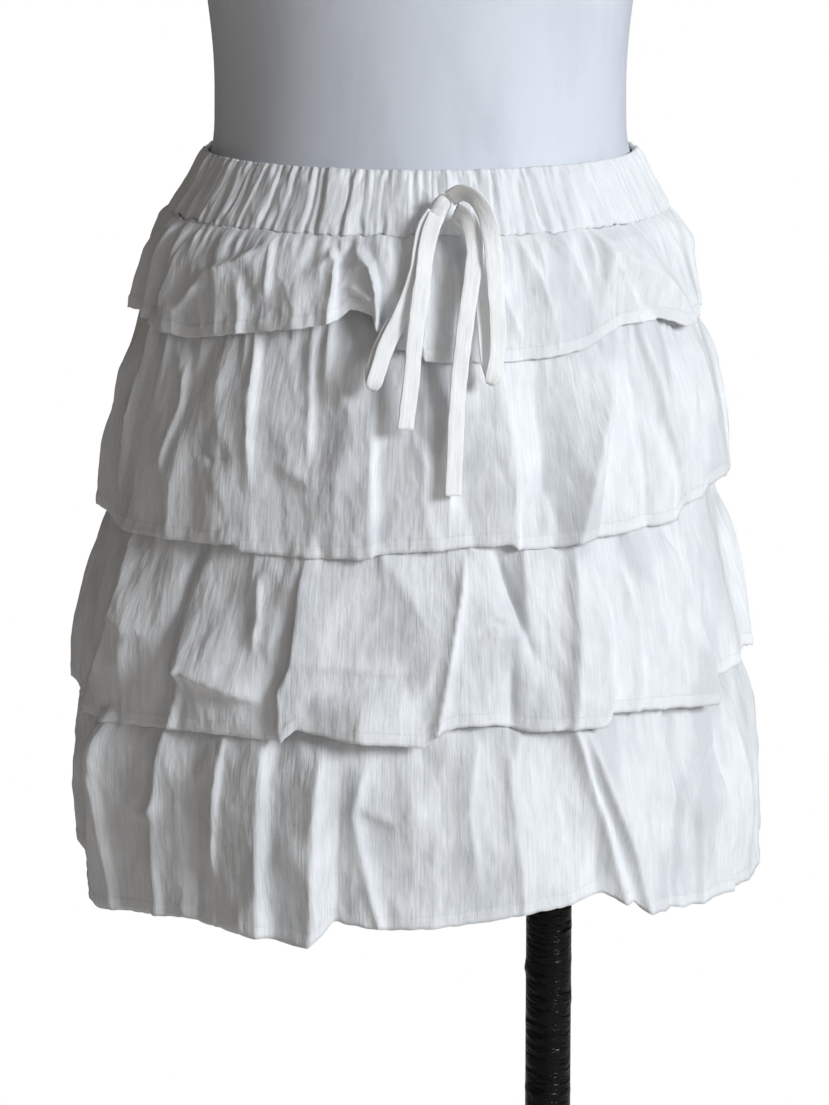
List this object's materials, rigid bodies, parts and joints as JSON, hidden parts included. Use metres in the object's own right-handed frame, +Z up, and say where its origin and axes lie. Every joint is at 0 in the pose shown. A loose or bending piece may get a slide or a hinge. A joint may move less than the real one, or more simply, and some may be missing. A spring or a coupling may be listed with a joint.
{
  "type": "tiered skort on dress form",
  "caption": "White cotton skort with gathered tiers and a drawstring waistband, worn by a limbless hard-shell dress form on a pole stand.",
  "frame": {"origin": "on the floor under the middle of the round base plate", "axes": "+Z up, front of the skort towards -Y, the wearer's left towards +X"},
  "size_m": [0.39, 0.39, 1.4053],
  "materials": {
    "cotton": "matte crinkled white cotton with a fine vertical slub",
    "lining_cotton": "plain matte white cotton",
    "form_shell": "satin pale lavender-grey hard shell with light scuffs",
    "pole_wrap": "glossy black film with fine wrinkles round the pole",
    "painted_steel": "satin black powder coat"
  },
  "bodies": {
    "root": {"dress_form": "form_shell", "neck_cap": "form_shell", "base_plate": "painted_steel", "pole": "pole_wrap", "pole_flange": "painted_steel", "waistband": "cotton", "foundation": "lining_cotton", "tier_1_front": "cotton", "tier_1_back": "cotton", "tier_2_front": "cotton", "tier_2_back": "cotton", "tier_3_front": "cotton", "tier_3_back": "cotton", "tier_4_front": "cotton", "tier_4_back": "cotton", "shorts_right": "lining_cotton", "shorts_left": "lining_cotton", "drawstring_knot": "cotton", "drawstring_left_loop": "cotton", "drawstring_left_end": "cotton", "drawstring_right_loop": "cotton", "drawstring_right_end": "cotton"}
  },
  "joints": []
}
